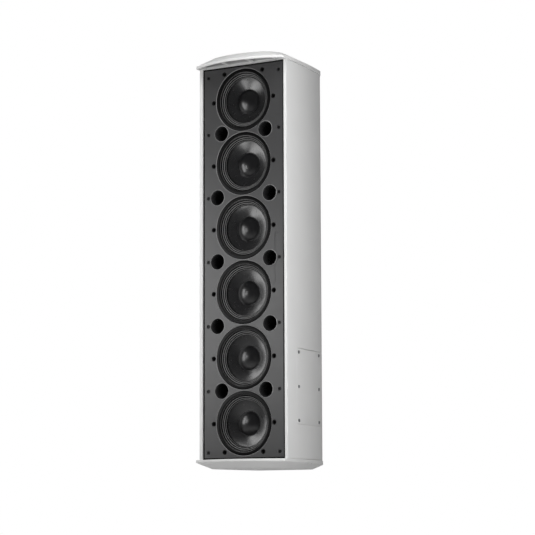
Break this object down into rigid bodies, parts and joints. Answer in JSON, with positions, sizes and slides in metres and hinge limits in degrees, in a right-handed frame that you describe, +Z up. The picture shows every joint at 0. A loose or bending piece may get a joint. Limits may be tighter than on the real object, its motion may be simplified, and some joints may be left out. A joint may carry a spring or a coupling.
{
  "type": "line array column loudspeaker",
  "caption": "Tall column loudspeaker: cone drivers and round ports on a recessed dark baffle, in a bow-sided light grey cabinet with bowed, bevelled end caps.",
  "frame": {"origin": "centre of the bounding box's footprint, on the floor", "axes": "+Z up the column, the drivers face -Y, +X is to the right of the back, the side with the service cover"},
  "size_m": [0.264, 0.2894, 1.057],
  "materials": {
    "cabinet_paint": "light grey satin paint over bent plywood",
    "cap_paint": "light grey satin paint over moulded plastic",
    "baffle_paint": "dark grey satin paint over board",
    "foam_black": "closed-cell foam, matt",
    "ring_plastic": "moulded, fine grain",
    "port_plastic": "moulded, satin",
    "socket_rubber": "matt",
    "cone_pulp": "coated, satin",
    "cap_gloss": "pressed dome, glossy",
    "surround_cloth": "pleated and coated",
    "spider_cloth": "resin-stiffened weave",
    "basket_paint": "black powder coat on pressed steel",
    "plate_steel": "zinc plated",
    "ferrite": "ground ferrite",
    "coil_copper": "enamelled copper on a thin former",
    "screw_black": "black oxide",
    "screw_zinc": "zinc plated",
    "insert_steel": "zinc plated, threaded",
    "brace_ply": "bare plywood",
    "cup_plastic": "moulded, fine grain",
    "board_laminate": "glass laminate",
    "component_dark": "lacquered windings and cans",
    "lead_pvc": "insulated leads"
  },
  "bodies": {
    "enclosure": {"cabinet_shell": "cabinet_paint", "side_cover_plate": "cabinet_paint", "top_cap": "cap_paint", "bottom_cap": "cap_paint", "front_baffle": "baffle_paint", "baffle_gasket": "foam_black", "trim_rings": "ring_plastic", "port_tubes": "port_plastic", "grille_sockets": "socket_rubber", "baffle_screws": "screw_black", "driver_screws": "screw_black", "cap_screws": "screw_zinc", "side_cover_screws": "screw_zinc", "input_screws": "screw_zinc", "rigging_inserts": "insert_steel", "shelf_braces": "brace_ply", "input_cup": "cup_plastic", "terminal_strip": "cup_plastic", "crossover_board": "board_laminate", "crossover_parts": "component_dark", "wiring_harness": "lead_pvc", "driver_magnets": "ferrite", "driver_top_plates": "plate_steel", "driver_yokes": "plate_steel", "basket_1": "basket_paint", "basket_2": "basket_paint", "basket_3": "basket_paint", "basket_4": "basket_paint", "basket_5": "basket_paint", "basket_6": "basket_paint"},
    "diaphragm_1": {"cone_1": "cone_pulp", "dust_cap_1": "cap_gloss", "voice_coil_1": "coil_copper", "surround_1": "surround_cloth", "spider_1": "spider_cloth"},
    "diaphragm_2": {"cone_2": "cone_pulp", "dust_cap_2": "cap_gloss", "voice_coil_2": "coil_copper", "surround_2": "surround_cloth", "spider_2": "spider_cloth"},
    "diaphragm_3": {"cone_3": "cone_pulp", "dust_cap_3": "cap_gloss", "voice_coil_3": "coil_copper", "surround_3": "surround_cloth", "spider_3": "spider_cloth"},
    "diaphragm_4": {"cone_4": "cone_pulp", "dust_cap_4": "cap_gloss", "voice_coil_4": "coil_copper", "surround_4": "surround_cloth", "spider_4": "spider_cloth"},
    "diaphragm_5": {"cone_5": "cone_pulp", "dust_cap_5": "cap_gloss", "voice_coil_5": "coil_copper", "surround_5": "surround_cloth", "spider_5": "spider_cloth"},
    "diaphragm_6": {"cone_6": "cone_pulp", "dust_cap_6": "cap_gloss", "voice_coil_6": "coil_copper", "surround_6": "surround_cloth", "spider_6": "spider_cloth"}
  },
  "joints": [
    {"name": "cone_travel_1", "type": "slide", "parent": "enclosure", "child": "diaphragm_1", "axis": [0, -1, 0], "range_m": [-0.005, 0.005], "stiffness_N_per_m": 1250, "deforming": ["surround_1", "spider_1"]},
    {"name": "cone_travel_2", "type": "slide", "parent": "enclosure", "child": "diaphragm_2", "axis": [0, -1, 0], "range_m": [-0.005, 0.005], "stiffness_N_per_m": 1250, "deforming": ["surround_2", "spider_2"]},
    {"name": "cone_travel_3", "type": "slide", "parent": "enclosure", "child": "diaphragm_3", "axis": [0, -1, 0], "range_m": [-0.005, 0.005], "stiffness_N_per_m": 1250, "deforming": ["surround_3", "spider_3"]},
    {"name": "cone_travel_4", "type": "slide", "parent": "enclosure", "child": "diaphragm_4", "axis": [0, -1, 0], "range_m": [-0.005, 0.005], "stiffness_N_per_m": 1250, "deforming": ["surround_4", "spider_4"]},
    {"name": "cone_travel_5", "type": "slide", "parent": "enclosure", "child": "diaphragm_5", "axis": [0, -1, 0], "range_m": [-0.005, 0.005], "stiffness_N_per_m": 1250, "deforming": ["surround_5", "spider_5"]},
    {"name": "cone_travel_6", "type": "slide", "parent": "enclosure", "child": "diaphragm_6", "axis": [0, -1, 0], "range_m": [-0.005, 0.005], "stiffness_N_per_m": 1250, "deforming": ["surround_6", "spider_6"]}
  ]
}
